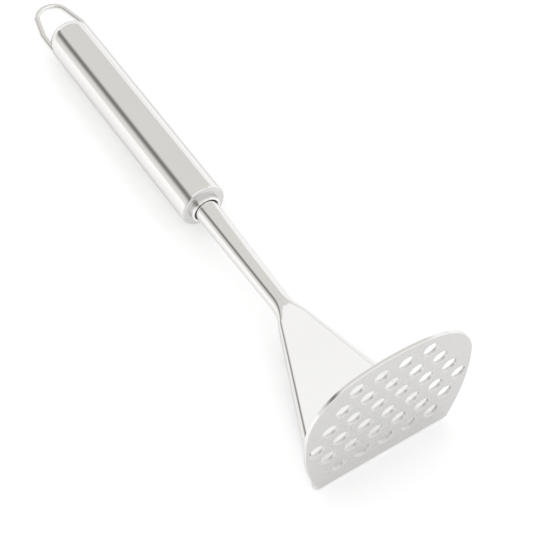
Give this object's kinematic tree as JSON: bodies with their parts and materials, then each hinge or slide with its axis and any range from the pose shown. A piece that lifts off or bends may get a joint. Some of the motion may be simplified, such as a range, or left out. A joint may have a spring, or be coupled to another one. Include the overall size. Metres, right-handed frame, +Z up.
{
  "type": "potato masher",
  "caption": "Stainless steel potato masher with a perforated plate, a slanted fan, a tapered neck, a round handle and a wire hanging loop.",
  "frame": {"origin": "middle of the bottom of the box of the masher as it lies on a table, on the bent edge of its head and the rounded end of its handle", "axes": "+X from the head towards the hanging loop, +Z up from the table, +Y across the head"},
  "size_m": [0.2924, 0.0792, 0.0737],
  "materials": {
    "satin_sheet": "satin, edges ground round",
    "polished_tube": "polished",
    "polished_wire": "polished",
    "hidden_steel": "turned"
  },
  "bodies": {
    "root": {"masher_sheet": "satin_sheet", "neck_tube": "polished_tube", "neck_collar": "polished_tube", "handle_base": "polished_tube", "handle_tube": "polished_tube", "neck_bush": "hidden_steel", "handle_cap": "polished_tube", "hanging_loop": "polished_wire"}
  },
  "joints": []
}
